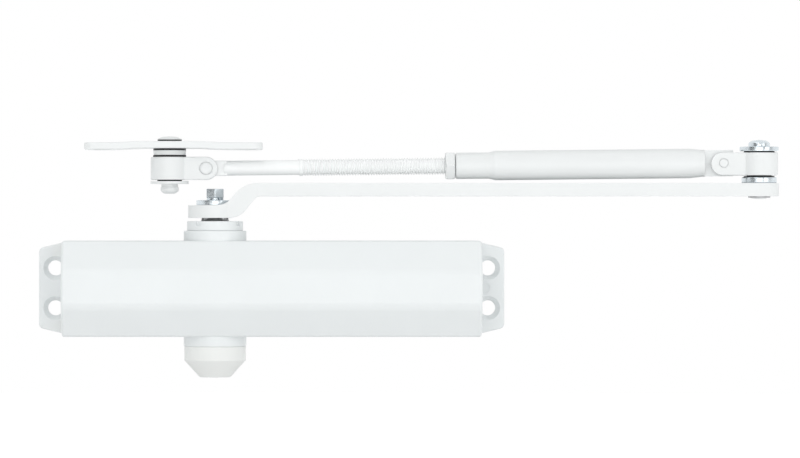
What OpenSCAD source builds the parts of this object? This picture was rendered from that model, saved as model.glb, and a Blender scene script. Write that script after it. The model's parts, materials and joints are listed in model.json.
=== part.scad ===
// Surface-mounted overhead door closer: rack-and-pinion body with a jointed, folding arm.
// Millimetres. The origin is the centre of the four door screw holes, on the face that
// meets the door. +X runs along the body towards the spring end, +Y points into the door
// and +Z is up.

/* [Body casting] */
// Length of the casting between its end faces
body_len = 196.5; // [180:0.5:240]
// Height of the casting
body_h = 45; // [44:0.5:60]
// Depth of the casting from the door to its front face
body_d = 50; // [48:0.5:60]
// Height of the flat front face, between the two sloping facets
front_h = 17; // [10:0.5:24]
// How far back the sloping facets run
facet_d = 10; // [6:0.5:15]
// Chamfer at the four corners of each end
end_chamfer = 1; // [0.4:0.1:2]
// Diameter of the piston bore
bore_d = 35; // [32:0.5:35.5]
// Distance from the adjuster end of the casting to the pinion axis
pinion_from_end = 71.6; // [68:0.05:86]

/* [Mounting feet] */
// How far a foot stands out past the end of the casting
foot_out = 12.25; // [10.5:0.25:20]
// Thickness of a foot
foot_t = 7; // [5:0.5:8.5]
// Height of a foot where it leaves the casting
foot_root_h = 44.4; // [36:0.1:44.6]
// Height of a foot at its outer edge
foot_tip_h = 37.8; // [32:0.1:42]
// Radius of a foot's outer corners
foot_corner_r = 2; // [1:0.5:6]
// Distance of the screw holes past the end of the casting
hole_out = 4.5; // [4:0.1:6]
// Vertical distance between the two screw holes of a foot
hole_pitch_z = 19; // [16:0.5:24]
// Diameter of a screw hole
hole_d = 7.2; // [5:0.1:7.5]
// Diameter of the countersink for a screw head
csk_d = 11.4; // [8:0.5:12]

/* [Bosses and glands] */
// Diameter of the cast boss at either end of the pinion
boss_d = 29.5; // [29:0.1:32]
// Height of a boss above the casting
boss_h = 4.7; // [3:0.1:8]
// Diameter of a gland's flange
gland_d = 26.4; // [25.6:0.1:28]
// Height of a gland's flange
gland_h = 4.5; // [3.5:0.1:6]
// Diameter of a gland's threaded stem
gland_stem_d = 25; // [24.4:0.1:25.4]
// Width of the spanner slots in a gland
gland_slot_w = 3; // [2:0.1:4]
// Depth of the spanner slots in a gland
gland_slot_h = 2.3; // [1.5:0.1:3]
// Turn of the spanner slots about the pinion axis
gland_slot_turn = 54; // [0:1:89]
// Outer diameter of a pinion bearing
bearing_d = 22; // [21.6:0.1:23]
// Outer diameter of a pinion seal
seal_d = 20; // [18:0.1:21]

/* [Pinion cap] */
// Outer diameter of the cap
cap_d = 28.9; // [28.9:0.1:31]
// Height of the cap's straight wall
cap_wall_h = 6.6; // [5:0.1:10]
// Height of the cap's cone
cap_cone_h = 7.9; // [7.5:0.1:12]
// Diameter of the flat tip of the cap
cap_tip_d = 14.5; // [10:0.5:20]
// Wall of the cap
cap_t = 1.1; // [0.8:0.1:1.1]

/* [Pinion and rack] */
// Module of the rack and pinion
gear_module = 1.75; // [1.6:0.05:1.75]
// Teeth on the pinion
gear_teeth = 10; // [9:1:10]
// Pressure angle of the teeth
pressure_angle = 30; // [28:1:30]
// Backlash at the pitch line
backlash = 0.2; // [0.1:0.05:0.4]
// Diameter of the pinion's journals
journal_d = 13.6; // [12.8:0.1:13.6]
// Width across flats of the pinion's square ends
square_af = 10.5; // [9:0.1:10.5]
// Length of the rack piston towards the adjuster end, from the pinion axis
piston_left = 52; // [50:0.5:53]
// Length of the rack piston towards the spring end, from the pinion axis
piston_right = 26; // [22:0.5:30]
// Turn of the pinion from a closed to a fully opened door
pinion_swing = 180; // [120:5:180]

/* [End plugs, spring and valves] */
// Length of an end plug
plug_len = 12; // [10:0.5:14]
// Width across flats of the hexagon socket in an end plug
plug_socket_af = 12; // [8:0.5:14]
// Outer diameter of the closing spring
spring_d = 33; // [26:0.5:33.5]
// Wire diameter of the closing spring
wire_d = 5; // [3:0.25:5.5]
// Diameter of a regulating valve
valve_d = 5; // [4:0.1:5]
// Length of a regulating valve
valve_len = 20; // [16:0.5:22]
// Distance from the valve axis to the top or bottom of the casting
valve_in_z = 4.5; // [4:0.1:5]
// Distance from the valve axis to the door face
valve_in_y = 11.5; // [10.8:0.1:12]

/* [Main arm] */
// Distance between the pinion axis and the elbow pin
arm_len = 256.2; // [180:0.1:320]
// Diameter of the arm's eye at the pinion
arm_eye_d = 25.4; // [22:0.1:30]
// Thickness of the arm's eye
arm_eye_t = 6; // [5:0.1:7]
// Thickness of the arm's bar
arm_bar_t = 6.2; // [5:0.1:7]
// Width of the arm's bar
arm_bar_w = 18.6; // [14:0.1:22]
// Rise of the bar above the eye, underside to underside
arm_rise = 10.2; // [8:0.1:16]
// Slope of the crank between the eye and the bar
crank_angle = 52; // [45:1:60]
// Thickness of the crank
crank_t = 8.65; // [7:0.05:9]
// Distance from the pinion axis to the foot of the crank
crank_x = 11.5; // [11:0.1:14]

/* [Arm fastening] */
// Width across flats of the arm screw's head
screw_af = 8; // [7:0.5:10]
// Height of the arm screw's head
screw_head_h = 4.2; // [3:0.1:6]
// Diameter of the arm screw
screw_d = 5; // [4:0.5:6]
// Diameter of the flat washer on the arm
arm_washer_d = 17.7; // [16:0.1:20]
// Thickness of the flat washer on the arm
arm_washer_t = 2.3; // [1.5:0.1:3]
// Diameter of the split washer
lock_washer_d = 7.9; // [7.5:0.1:9]
// Thickness of the split washer
lock_washer_t = 1.2; // [0.8:0.1:1.6]

/* [Knuckles] */
// Distance from a knuckle's pin to its rivet
link_reach = 17.2; // [16.5:0.1:24]
// Height of a knuckle link
link_h = 10.8; // [10:0.1:12]
// Outer radius of a knuckle link about its pin
link_r = 8.9; // [8.5:0.05:10]
// Thickness of the strap that a knuckle link is bent from
link_t = 3; // [2.5:0.1:3.2]
// Gap between the two flanges of a knuckle link
link_gap = 5.3; // [5.2:0.1:6]
// Diameter of a knuckle pin inside its link
pin_d = 9; // [8:0.1:9.2]
// Diameter of the elbow rivet
elbow_rivet_d = 4; // [3:0.1:4.5]
// Diameter of the shoe rivet
shoe_rivet_d = 4.6; // [3:0.1:4.8]

/* [Forearm] */
// Distance between the elbow rivet and the shoe rivet
forearm_len = 243.2; // [200:0.1:300]
// Slope of the forearm at rest, elbow end higher
forearm_tilt = 0.586; // [0:0.01:1]
// Diameter of the forearm tube
tube_d = 13.9; // [12:0.1:15]
// Diameter of the tube's nose
nose_d = 12.4; // [11:0.1:13]
// Length of the tube's nose
nose_len = 15.8; // [10:0.1:25]
// Distance from the elbow rivet to the nose of the tube
tube_reach = 125.9; // [100:0.1:150]
// Diameter of the threaded rod
rod_d = 8; // [7:0.5:8]
// Diameter of the rod's plain shank
shank_d = 7; // [6:0.1:7.5]
// Length of the rod's plain shank and eye
shank_len = 43.4; // [30:0.1:60]
// Length of rod inside the tube
rod_inside = 58; // [40:1:70]
// Width across flats of the lock nut
nut_af = 12.4; // [12:0.1:13]
// Thickness of the lock nut
nut_t = 4.4; // [3:0.1:6]

/* [Shoe] */
// Length of the shoe bracket
shoe_len = 83.8; // [70:0.1:100]
// Width of the shoe bracket
shoe_w = 26; // [22:0.5:34]
// Thickness of the shoe bracket
shoe_t = 3.3; // [2.5:0.1:4]
// How far the middle of the bracket is set up
shoe_set = 0.6; // [0.2:0.1:1.5]
// Distance of the bracket's middle from the pin, towards the elbow
shoe_shift = 2; // [0:0.1:4]
// Distance between the bracket's screw holes along its length
shoe_pitch_x = 68; // [56:1:72]
// Distance between the bracket's screw holes across its width
shoe_pitch_y = 13; // [11:0.5:16]
// Diameter of the bracket's screw holes
shoe_hole_d = 5.5; // [4:0.1:6]

/* [Hidden] */
$fn = 64;

// Gaps: between fixed pieces, between running pieces, and around pieces that swing past others
fit = 0.03;
run = 0.05;
swing = 0.3;
past = 1;

// The closer's main lines
half_len = body_len / 2;
axis_y = -body_d / 2;
pinion_x = -half_len + pinion_from_end;
boss_z = body_h / 2 + boss_h;
gland_z = boss_z + gland_h;
bore_r = bore_d / 2;
stem_depth = 5;
bearing_top = boss_z - stem_depth;
pitch_r = gear_module * gear_teeth / 2;
gear_tip_r = pitch_r + gear_module;
gear_root_r = pitch_r - 1.25 * gear_module;
base_r = pitch_r * cos(pressure_angle);
rack_tip = pitch_r - gear_module;
rack_root = pitch_r + 1.25 * gear_module;
circular_pitch = PI * gear_module;
travel = pitch_r * pinion_swing * PI / 180;
piston_r = bore_r - run;
gear_half = sqrt(piston_r * piston_r - rack_tip * rack_tip);
valve_y = -valve_in_y;
valve_z = body_h / 2 - valve_in_z;
seal_wire_r = 1.2;

// The arm's levels, upwards from the gland
neck_h = 1.5;
eye_z = gland_z + neck_h;
bar_z = eye_z + arm_rise;
washer_z = eye_z + arm_eye_t;
lock_z = washer_z + arm_washer_t;
head_z = lock_z + lock_washer_t;

// The elbow, upwards from the bar
elbow_x = pinion_x + arm_len;
bar_top = bar_z + arm_bar_t;
spacer_h = 2.8;
foot_flange_h = 0.5;
flange_h = 0.6;
elbow_washer_t = 2.1;
elbow_link_z = bar_top + spacer_h + foot_flange_h + swing;
elbow_top = elbow_link_z + link_h;
elbow_flange_top = elbow_top + flange_h;
elbow_head_z = elbow_flange_top + elbow_washer_t;
elbow_rivet_x = elbow_x - link_reach;
elbow_rivet_z = elbow_link_z + link_h / 2 + 0.4;

// The shoe, which hangs on the far end of the forearm
shoe_rivet_x = elbow_rivet_x - forearm_len * cos(forearm_tilt);
shoe_rivet_z = elbow_rivet_z - forearm_len * sin(forearm_tilt);
shoe_x = shoe_rivet_x - link_reach;
shoe_link_z = shoe_rivet_z - link_h / 2;
shoe_link_top = shoe_link_z + link_h;
shoe_flange_top = shoe_link_top + 0.9;
shoe_spacer_h = 2.2;
shoe_shim_t = 0.9;
plate_z = shoe_flange_top + shoe_spacer_h + shoe_shim_t;
wing_z = plate_z - shoe_set;
shoe_washer_t = 1.3;
shoe_foot_flange = 0.6;
shoe_washer_z = shoe_link_z - shoe_foot_flange - shoe_washer_t;

// The colours of the finishes
white = [0.93, 0.94, 0.95];
cap_white = [0.92, 0.92, 0.90];
zinc = [0.72, 0.74, 0.78];
steel = [0.55, 0.56, 0.58];
nylon = [0.08, 0.08, 0.09];
rubber = [0.12, 0.12, 0.12];
brass = [0.78, 0.66, 0.36];

// Geometry helpers

function unit(v) = v / norm(v);

// The points of one corner p, between a and b, rounded to radius r
function corner(a, p, b, r, steps = 8) =
  r == 0 ? [p] :
  let (u = unit(a - p), v = unit(b - p), half = acos(u * v) / 2)
  let (c = p + unit(u + v) * r / sin(half))
  let (s = p + u * r / tan(half) - c, e = p + v * r / tan(half) - c)
  let (from = atan2(s.y, s.x), turn = atan2(e.y, e.x) - from)
  let (sweep = turn > 180 ? turn - 360 : turn < -180 ? turn + 360 : turn)
  [for (i = [0:steps]) c + r * [cos(from + sweep * i / steps), sin(from + sweep * i / steps)]];

// An outline from corners [x, y, radius]
function rounded(c) =
  let (n = len(c), p = [for (k = c) [k.x, k.y]])
  [for (i = [0:n - 1]) each corner(p[(i + n - 1) % n], p[i], p[(i + 1) % n], c[i].z)];

// An involute flank's point at radius r, from the tooth's middle line
function flank(r, side, thickness_angle) =
  let (a = acos(min(1, base_r / r)), w = acos(base_r / pitch_r))
  let (inv_r = tan(a) - a * PI / 180, inv_w = tan(w) - w * PI / 180)
  let (turn = side * (thickness_angle / 2 + (inv_w - inv_r) * 180 / PI))
  [r * cos(turn), r * sin(turn)];

// A section drawn in Y and Z, run along X between two places
module along_x(from, to) {
  translate([from, 0, 0]) rotate([90, 0, 90]) linear_extrude(to - from) children();
}

// A side view drawn in X and Z, given a width in Y about the pinion axis
module across_y(width) {
  translate([0, axis_y, 0]) rotate([90, 0, 0]) linear_extrude(width, center = true) children();
}

// A round bar along X
module rod_x(d, from, to, y, z) {
  translate([from, y, z]) rotate([0, 90, 0]) cylinder(d = d, h = to - from);
}

// A round bar along Y, centred on the pinion plane
module rod_y(d, width, x, z) {
  translate([x, axis_y, z]) rotate([90, 0, 0]) cylinder(d = d, h = width, center = true);
}

// A flat spherical cap standing on z = 0
module dome(d, h) {
  r = (d * d / 4 + h * h) / (2 * h);
  intersection() {
    translate([0, 0, h - r]) sphere(r = r);
    cylinder(d = d, h = h);
  }
}

module ring(outer, inner, h) {
  difference() {
    cylinder(d = outer, h = h);
    translate([0, 0, -past]) cylinder(d = inner, h = h + 2 * past);
  }
}

// A rubber ring of round section about Z
module o_ring(outer, wire_r) {
  rotate_extrude() translate([outer / 2 - wire_r, 0]) circle(r = wire_r, $fn = 24);
}

module at_pinion(z) {
  translate([pinion_x, axis_y, z]) children();
}

// Both ends of the pinion, the lower as a mirror of the upper
module both_ends() {
  children();
  mirror([0, 0, 1]) children();
}

// A square with turned corners
module driving_square(af, corner_d) {
  intersection() {
    square(af, center = true);
    circle(d = corner_d);
  }
}

// Body

module body_section() {
  polygon([
    [0, -body_h / 2], [-body_d + facet_d, -body_h / 2], [-body_d, -front_h / 2],
    [-body_d, front_h / 2], [-body_d + facet_d, body_h / 2], [0, body_h / 2]
  ]);
}

module body_side() {
  c = end_chamfer;
  x = half_len;
  z = body_h / 2;
  polygon([
    [-x, c - z], [c - x, -z], [x - c, -z], [x, c - z],
    [x, z - c], [x - c, z], [c - x, z], [-x, z - c]
  ]);
}

module foot() {
  root = half_len - end_chamfer - past;
  tip = half_len + foot_out;
  rotate([90, 0, 0]) linear_extrude(foot_t) polygon(rounded([
    [root, -foot_root_h / 2, 0], [tip, -foot_tip_h / 2, foot_corner_r],
    [tip, foot_tip_h / 2, foot_corner_r], [root, foot_root_h / 2, 0]
  ]));
}

// A countersunk screw hole, with room for the screw's head in front of the foot
module foot_hole() {
  head_room = 2.5;
  csk_h = (csk_d - hole_d) / 2;
  rotate([90, 0, 0]) {
    translate([0, 0, -past]) cylinder(d = hole_d, h = foot_t + 2 * past);
    translate([0, 0, foot_t - csk_h]) cylinder(d1 = hole_d, d2 = csk_d, h = csk_h);
    translate([0, 0, foot_t]) cylinder(d = csk_d, h = head_room);
  }
}

// A valve's pocket, and the two drillings from it to the piston bore
module valve_pocket(side) {
  port_d = 1.6;
  z = side * valve_z;
  inner = -half_len + valve_len + 2;
  to_bore = norm([valve_y - axis_y, valve_z]);
  rod_x(valve_d + 2 * run, -half_len - past, inner, valve_y, z);
  for (x = [-half_len + plug_len + 4, inner - 1]) {
    translate([x, axis_y, 0]) rotate([side * atan2(valve_z, valve_y - axis_y) - 90, 0, 0])
      cylinder(d = port_d, h = to_bore);
  }
}

module ejector_mark() {
  mark_d = 4.8;
  mark_depth = 0.6;
  translate([half_len + hole_out - 1.5, -foot_t + mark_depth, 0])
    rotate([90, 0, 0]) cylinder(d = mark_d, h = past);
}

module body_casting() {
  color(white) difference() {
    union() {
      intersection() {
        along_x(-half_len, half_len) body_section();
        across_y(body_d + 2 * past) body_side();
      }
      foot();
      mirror([1, 0, 0]) foot();
      at_pinion(-boss_z) cylinder(d = boss_d, h = 2 * boss_z);
    }
    rod_x(bore_d, -half_len - past, half_len + past, axis_y, 0);
    at_pinion(-bearing_top) cylinder(d = bearing_d, h = 2 * bearing_top);
    both_ends() at_pinion(bearing_top) cylinder(d = gland_stem_d + 2 * fit, h = stem_depth + past);
    for (x = [-1, 1], z = [-1, 1]) {
      translate([x * (half_len + hole_out), 0, z * hole_pitch_z / 2]) foot_hole();
    }
    valve_pocket(1);
    valve_pocket(-1);
    ejector_mark();
  }
}

// An end plug, drawn with its outer face at x = 0 and its body towards -X
module end_plug() {
  groove_depth = 2 * seal_wire_r + 0.1;
  groove_w = 2 * seal_wire_r + 0.4;
  groove_x = -plug_len / 2 - 1;
  socket_depth = 5;
  rim = 0.8;
  difference() {
    rod_x(bore_d - 2 * fit, -plug_len, -rim, axis_y, 0);
    difference() {
      rod_x(bore_d + past, groove_x - groove_w / 2, groove_x + groove_w / 2, axis_y, 0);
      rod_x(bore_d - 2 * groove_depth, -plug_len, 0, axis_y, 0);
    }
    translate([-socket_depth, axis_y, 0]) rotate([0, 90, 0])
      cylinder(d = plug_socket_af / cos(30), h = socket_depth + past, $fn = 6);
  }
}

module right_end_plug() {
  color(steel) translate([half_len, 0, 0]) end_plug();
}

module left_end_plug() {
  color(steel) translate([-half_len, 0, 0]) mirror([1, 0, 0]) end_plug();
}

module plug_seals() {
  x = half_len - plug_len / 2 - 1;
  color(rubber) for (side = [-1, 1]) {
    translate([side * x, axis_y, 0]) rotate([0, 90, 0]) o_ring(bore_d - 2 * fit, seal_wire_r);
  }
}

// A gland, drawn for the upper end of the pinion
module gland() {
  seal_room = 3.8;
  difference() {
    union() {
      at_pinion(bearing_top + fit) cylinder(d = gland_stem_d, h = stem_depth);
      at_pinion(boss_z + fit) cylinder(d = gland_d, h = gland_h - fit);
    }
    at_pinion(0) cylinder(d = journal_d + 4 * run, h = gland_z + past);
    at_pinion(0) cylinder(d = seal_d + 2 * fit, h = bearing_top + seal_room + fit);
    for (turn = [0:90:270]) {
      at_pinion(gland_z - gland_slot_h) rotate(turn - 90 + gland_slot_turn)
        translate([gland_d / 2 - 3, -gland_slot_w / 2, 0])
        cube([3 + past, gland_slot_w, gland_slot_h + past]);
    }
  }
}

module upper_gland() {
  color(white) gland();
}

module lower_gland() {
  color(white) mirror([0, 0, 1]) gland();
}

module pinion_bearings() {
  bearing_foot = gear_half + 0.2;
  color(steel) both_ends() at_pinion(bearing_foot)
    ring(bearing_d - 2 * fit, journal_d + 2 * run, bearing_top - bearing_foot - fit);
}

module pinion_seals() {
  color(rubber) both_ends() at_pinion(bearing_top + 2 * fit)
    ring(seal_d, journal_d + 2 * run, 3.7);
}

module pinion_cap() {
  room_d = gland_d + 2 * run;
  color(cap_white) at_pinion(0) mirror([0, 0, 1]) translate([0, 0, boss_z]) difference() {
    union() {
      cylinder(d = cap_d, h = cap_wall_h);
      translate([0, 0, cap_wall_h]) cylinder(d1 = cap_d, d2 = cap_tip_d, h = cap_cone_h);
    }
    translate([0, 0, -past]) cylinder(d = room_d, h = cap_wall_h + past);
    translate([0, 0, cap_wall_h])
      cylinder(d1 = room_d, d2 = cap_tip_d - 2 * cap_t, h = cap_cone_h - cap_t);
  }
}

// A coiled wire between two places on the bore's axis, with one closed coil at each end
module coil(from, to, outer, wire, turns) {
  per_turn = 16;
  around = 8;
  rings = round(turns * per_turn);
  length = to - from - wire;
  closed = wire * 1.04;
  open = (length - 2 * closed) / (turns - 2);
  place = function(t) t < 1 ? closed * t
    : t > turns - 1 ? length - closed * (turns - t)
    : closed + open * (t - 1);
  mid = (outer - wire) / 2;
  points = [
    for (i = [0:rings], k = [0:around - 1])
      let (t = i / per_turn, a = 360 * t, w = 360 * k / around)
      let (r = mid + wire / 2 * cos(w))
      [from + wire / 2 + place(t) + wire / 2 * sin(w), axis_y + r * cos(a), r * sin(a)]
  ];
  walls = [
    for (i = [0:rings - 1], k = [0:around - 1])
      let (a = i * around + k, b = i * around + (k + 1) % around)
      each [[a, b, b + around], [a, b + around, a + around]]
  ];
  end = rings * around;
  caps = [for (k = [1:around - 2]) each [[0, k + 1, k], [end, end + k, end + k + 1]]];
  polyhedron(points, concat(walls, caps));
}

spring_from = pinion_x + piston_right + 0.1;
seat_t = 3;
seat_x = half_len - plug_len - seat_t - 0.1;
spring_room = seat_x - spring_from - 0.1;
spring_turns = max(3, floor(1.6 * (spring_room - travel) / wire_d) / 2);

module closing_spring() {
  color(steel) coil(spring_from, spring_from + spring_room, spring_d, wire_d, spring_turns);
}

module spring_seat() {
  color(steel) translate([seat_x, axis_y, 0]) rotate([0, 90, 0]) {
    ring(bore_d - 1, 10, seat_t);
    translate([0, 0, -3]) ring(spring_d - 2 * wire_d - 1, 10, 3 + fit);
  }
}

// A regulating valve, drawn on the X axis with its slotted head at x = 0
module valve() {
  slot_w = 1;
  slot_h = 1.4;
  groove_w = 1;
  groove_d = valve_d - 1.6;
  tip_len = 4;
  difference() {
    union() {
      rotate([0, 90, 0]) cylinder(d = valve_d, h = valve_len - tip_len);
      translate([valve_len - tip_len, 0, 0]) rotate([0, 90, 0])
        cylinder(d1 = valve_d - 0.6, d2 = 1.2, h = tip_len);
    }
    translate([-past, -slot_w / 2, -valve_d]) cube([slot_h + past, slot_w, 2 * valve_d]);
    translate([valve_len / 2, 0, 0]) rotate([0, 90, 0]) ring(valve_d + past, groove_d, groove_w);
  }
}

module valve_seal() {
  wire_r = 0.4;
  translate([valve_len / 2 + 0.5, 0, 0]) rotate([0, 90, 0]) o_ring(valve_d, wire_r);
}

module at_valve(side) {
  translate([-half_len + 0.6, valve_y, side * valve_z]) children();
}

module closing_valve() {
  color(brass) at_valve(1) valve();
}

module closing_valve_seal() {
  color(rubber) at_valve(1) valve_seal();
}

module latching_valve() {
  color(brass) at_valve(-1) valve();
}

module latching_valve_seal() {
  color(rubber) at_valve(-1) valve_seal();
}

// Piston

piston_head = 12;
slot_left = pinion_x - piston_left + piston_head;
slot_right = pinion_x + gear_tip_r + 1.5;
ball_d = 5;
ball_room_d = ball_d + 0.6;
ball_z = -6;
ball_in = 4.5;
ball_room = ball_in + ball_d / 2 + 0.5;
retainer_in = 0.2;
retainer_t = 1.2;

// The rack, seen from above: straight-sided teeth that point from the wall to the pinion
module rack_teeth() {
  half_root = circular_pitch / 4 + 1.25 * gear_module * tan(pressure_angle);
  half_tip = circular_pitch / 4 - gear_module * tan(pressure_angle);
  first = -ceil((travel + 8) / circular_pitch);
  for (i = [first:1]) {
    translate([pinion_x + i * circular_pitch, axis_y]) polygon([
      [-half_root, rack_root + past], [-half_root, rack_root], [-half_tip, rack_tip],
      [half_tip, rack_tip], [half_root, rack_root], [half_root, rack_root + past]
    ]);
  }
}

module rack_piston() {
  slot_wall = gear_tip_r + 0.8;
  groove_w = 2;
  left = pinion_x - piston_left;
  color(steel) intersection() {
    rod_x(2 * piston_r, left, pinion_x + piston_right, axis_y, 0);
    difference() {
      translate([left - past, axis_y - bore_d, -bore_d])
        cube([piston_left + piston_right + 2 * past, 2 * bore_d, 2 * bore_d]);
      translate([0, 0, -bore_d]) linear_extrude(2 * bore_d) difference() {
        translate([slot_left, axis_y - slot_wall])
          square([slot_right - slot_left, slot_wall + rack_root]);
        rack_teeth();
      }
      rod_x(ball_room_d, left - past, left + ball_room, axis_y, ball_z);
      rod_x(2.5, left, slot_left + past, axis_y, ball_z);
      for (x = [left + 3, pinion_x + piston_right - 5]) {
        difference() {
          rod_x(bore_d, x, x + groove_w, axis_y, 0);
          rod_x(2 * piston_r - 2, x - past, x + groove_w + past, axis_y, 0);
        }
      }
    }
  }
}

module check_ball() {
  color(steel) translate([pinion_x - piston_left + ball_in, axis_y, ball_z]) sphere(d = ball_d);
}

module check_retainer() {
  color(brass) translate([pinion_x - piston_left + retainer_in, axis_y, ball_z])
    rotate([0, 90, 0]) ring(ball_room_d - 2 * fit, 3, retainer_t);
}

// Pinion and main arm

module gear_outline() {
  thickness = (circular_pitch / 2 - backlash) / pitch_r * 180 / PI;
  steps = 6;
  radii = [for (i = [0:steps]) base_r + (gear_tip_r - base_r) * i / steps];
  circle(r = gear_root_r);
  for (i = [0:gear_teeth - 1]) rotate(i * 360 / gear_teeth) {
    foot_half = flank(base_r, 1, thickness).y;
    polygon(concat(
      [[0, -foot_half]], [for (r = radii) flank(r, -1, thickness)],
      [for (k = [steps:-1:0]) flank(radii[k], 1, thickness)], [[0, foot_half]]
    ));
  }
}

square_foot = 7.4;
neck_top_d = 12.4;
square_corner_d = neck_top_d + 0.9;

module pinion_shaft() {
  square_top = washer_z - 0.3;
  color(steel) at_pinion(0) difference() {
    union() {
      translate([0, 0, -gear_half + 0.1]) linear_extrude(2 * gear_half - 0.2) gear_outline();
      translate([0, 0, -gland_z]) cylinder(d = journal_d, h = 2 * gland_z);
      translate([0, 0, gland_z]) cylinder(d1 = square_corner_d, d2 = neck_top_d, h = neck_h);
      translate([0, 0, eye_z - past]) linear_extrude(square_top - eye_z + past)
        driving_square(square_af, square_corner_d);
      mirror([0, 0, 1]) translate([0, 0, gland_z]) linear_extrude(square_foot)
        driving_square(square_af, square_corner_d);
    }
    translate([0, 0, screw_foot - 3]) cylinder(d = screw_d + 2 * fit, h = square_top);
    mirror([0, 0, 1]) translate([0, 0, screw_foot - 3])
      cylinder(d = screw_d + 2 * fit, h = square_top);
  }
}

module arm_plan() {
  neck_x = crank_x + 9;
  circle(d = arm_eye_d);
  polygon([
    [0, -arm_eye_d / 2], [arm_eye_d * 0.22, -arm_eye_d / 2], [neck_x, -arm_bar_w / 2],
    [neck_x, arm_bar_w / 2], [arm_eye_d * 0.22, arm_eye_d / 2], [0, arm_eye_d / 2]
  ]);
  translate([neck_x - fit, -arm_bar_w / 2]) square([arm_len - neck_x + fit, arm_bar_w]);
  translate([arm_len, 0]) circle(d = arm_bar_w);
}

// The arm's side view: a low eye, a sloping crank and a high bar
module arm_side() {
  inner_r = 4;
  outer_r = 10;
  lean = tan(crank_angle);
  under_x = crank_x + arm_rise / lean;
  back_x = crank_x - crank_t / sin(crank_angle);
  eye_top_x = back_x + arm_eye_t / lean;
  bar_top_x = back_x + (arm_rise + arm_bar_t) / lean;
  left = -arm_eye_d;
  right = arm_len + arm_bar_w;
  polygon(rounded([
    [left, eye_z, 0], [crank_x, eye_z, outer_r], [under_x, bar_z, inner_r],
    [right, bar_z, 0], [right, bar_top, 0], [bar_top_x, bar_top, outer_r + 4],
    [eye_top_x, washer_z, outer_r - 1.3], [left, washer_z, 0]
  ]));
}

// The washer sits on a spot face, which bites into the foot of the crank
module main_arm() {
  spot_face_d = arm_washer_d + 0.5;
  color(white) difference() {
    intersection() {
      translate([pinion_x, 0, 0]) across_y(arm_eye_d + past) arm_side();
      at_pinion(eye_z - past) linear_extrude(bar_top - eye_z + 2 * past) arm_plan();
    }
    at_pinion(eye_z - past) linear_extrude(arm_eye_t + 2 * past)
      driving_square(square_af + 2 * fit, square_corner_d + 2 * fit);
    at_pinion(washer_z) cylinder(d = spot_face_d, h = arm_rise + arm_bar_t);
    translate([elbow_x, axis_y, bar_z - past])
      cylinder(d = pin_d + 2 * fit, h = arm_bar_t + 2 * past);
  }
}

module arm_washer() {
  color(zinc) at_pinion(washer_z) ring(arm_washer_d, screw_d + 0.4, arm_washer_t);
}

// A spring washer with its cut end
module lock_washer() {
  cut_w = 0.6;
  color(zinc) at_pinion(lock_z) difference() {
    ring(lock_washer_d, screw_d + 0.2, lock_washer_t);
    rotate([20, 0, -60]) translate([0, -cut_w / 2, -past])
      cube([lock_washer_d, cut_w, lock_washer_t + 2 * past]);
  }
}

screw_foot = 24;

module arm_screw() {
  corner_d = screw_af / cos(30);
  color(zinc) at_pinion(0) {
    translate([0, 0, screw_foot]) cylinder(d = screw_d, h = head_z - screw_foot + fit);
    translate([0, 0, head_z]) intersection() {
      rotate(30) cylinder(d = corner_d, h = screw_head_h, $fn = 6);
      cylinder(d1 = corner_d + 2 * screw_head_h * 2, d2 = screw_af * 0.9, h = screw_head_h + 0.35);
    }
  }
}

// Elbow

bush_d = pin_d + 2.6;
elbow_head_h = 3.3;
foot_rivet_h = 1.3;

module elbow_pin() {
  head_d = pin_d + 1.1;
  color(zinc) translate([elbow_x, axis_y, 0]) {
    translate([0, 0, bar_z]) mirror([0, 0, 1]) dome(head_d + 0.3, foot_rivet_h);
    translate([0, 0, bar_z - fit]) cylinder(d = pin_d, h = elbow_head_z - bar_z + 2 * fit);
    translate([0, 0, elbow_head_z]) cylinder(d = head_d, h = elbow_head_h / 2);
    translate([0, 0, elbow_head_z + elbow_head_h / 2]) dome(head_d, elbow_head_h / 2);
  }
}

module elbow_spacer() {
  edge = 0.5;
  outer = 8.25;
  color(zinc) translate([elbow_x, axis_y, bar_top]) rotate_extrude() polygon(rounded([
    [pin_d / 2 + fit, 0, 0], [outer, 0, edge], [outer, spacer_h, edge], [pin_d / 2 + fit, spacer_h, 0]
  ]));
}

// A plain bush with a thin flange on top
module bush(length, flange_d, flange) {
  ring(bush_d, pin_d + 2 * fit, length + fit);
  translate([0, 0, length]) ring(flange_d, pin_d + 2 * fit, flange);
}

module elbow_bush() {
  foot = foot_flange_h + swing;
  color(nylon) translate([elbow_x, axis_y, elbow_link_z - foot]) {
    bush(link_h + foot + run, bush_d + 2.9, flange_h - run);
    ring(bush_d + 2.9, pin_d + 2 * fit, foot_flange_h);
  }
}

module elbow_washer() {
  color(zinc) translate([elbow_x, axis_y, elbow_flange_top])
    ring(18.4, pin_d + 2 * fit, elbow_washer_t);
}

// A knuckle link bent from strap: a loop round its pin at the origin, and two flanges with
// a rounded end that hold a rivet at x = -link_reach, rivet_z above the link's foot
module strap_link(rivet_d, rivet_z) {
  flange_y = link_gap / 2 + link_t;
  end = link_reach + link_h;
  difference() {
    intersection() {
      linear_extrude(link_h) difference() {
        union() {
          circle(r = link_r);
          translate([-end, -flange_y]) square([end, 2 * flange_y]);
        }
        circle(d = bush_d + 2 * run);
        translate([-end - past, -link_gap / 2]) square([end + past, link_gap]);
      }
      rotate([90, 0, 0]) linear_extrude(4 * link_r, center = true) {
        translate([-link_reach, link_h / 2]) circle(d = link_h);
        translate([-link_reach, 0]) square([link_reach + link_r + past, link_h]);
      }
    }
    translate([-link_reach, 0, rivet_z]) rotate([90, 0, 0])
      cylinder(d = rivet_d + 2 * fit, h = 4 * link_r, center = true);
  }
}

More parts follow.
